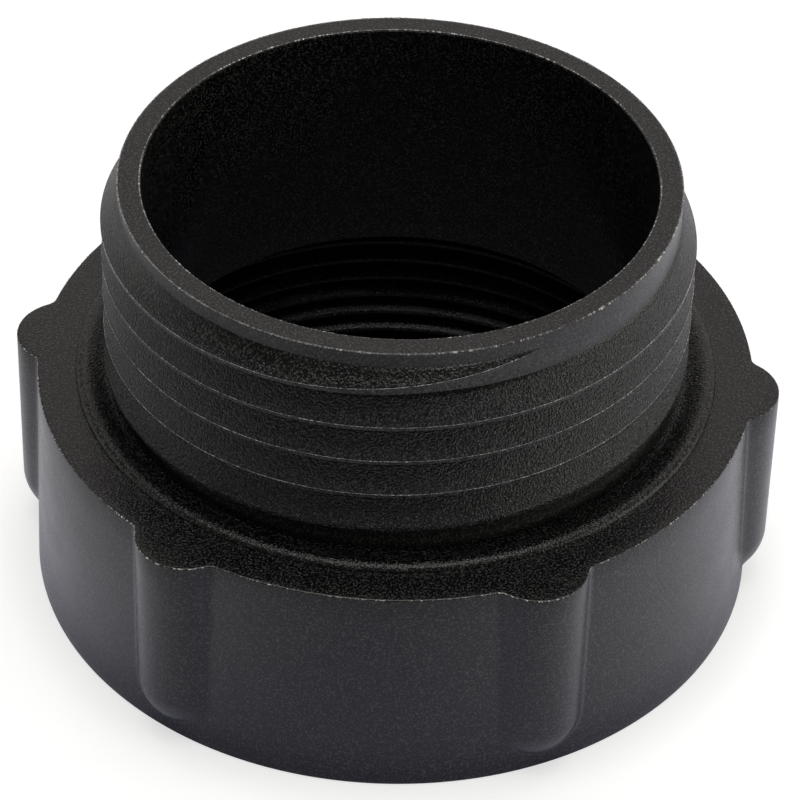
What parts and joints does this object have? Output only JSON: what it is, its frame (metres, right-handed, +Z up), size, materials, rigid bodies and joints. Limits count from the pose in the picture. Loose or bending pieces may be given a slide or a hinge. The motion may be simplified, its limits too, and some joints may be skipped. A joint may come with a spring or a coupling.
{
  "type": "diesel exhaust fluid adapter",
  "caption": "Black plastic adapter with a coarse outer thread above a lugged collar, a socket below it and an open bore through both.",
  "frame": {"origin": "centre of the flat bottom face of the collar, on the axis", "axes": "+Z up along the axis, towards the outer thread; +X through the middle of one grip lug"},
  "size_m": [0.0754, 0.0714, 0.0453],
  "materials": {
    "black_plastic": "moulded black plastic with a fine matte grain, a smoother rim and thin pale flash on its edges"
  },
  "bodies": {
    "root": {"adapter_body": "black_plastic"}
  },
  "joints": []
}
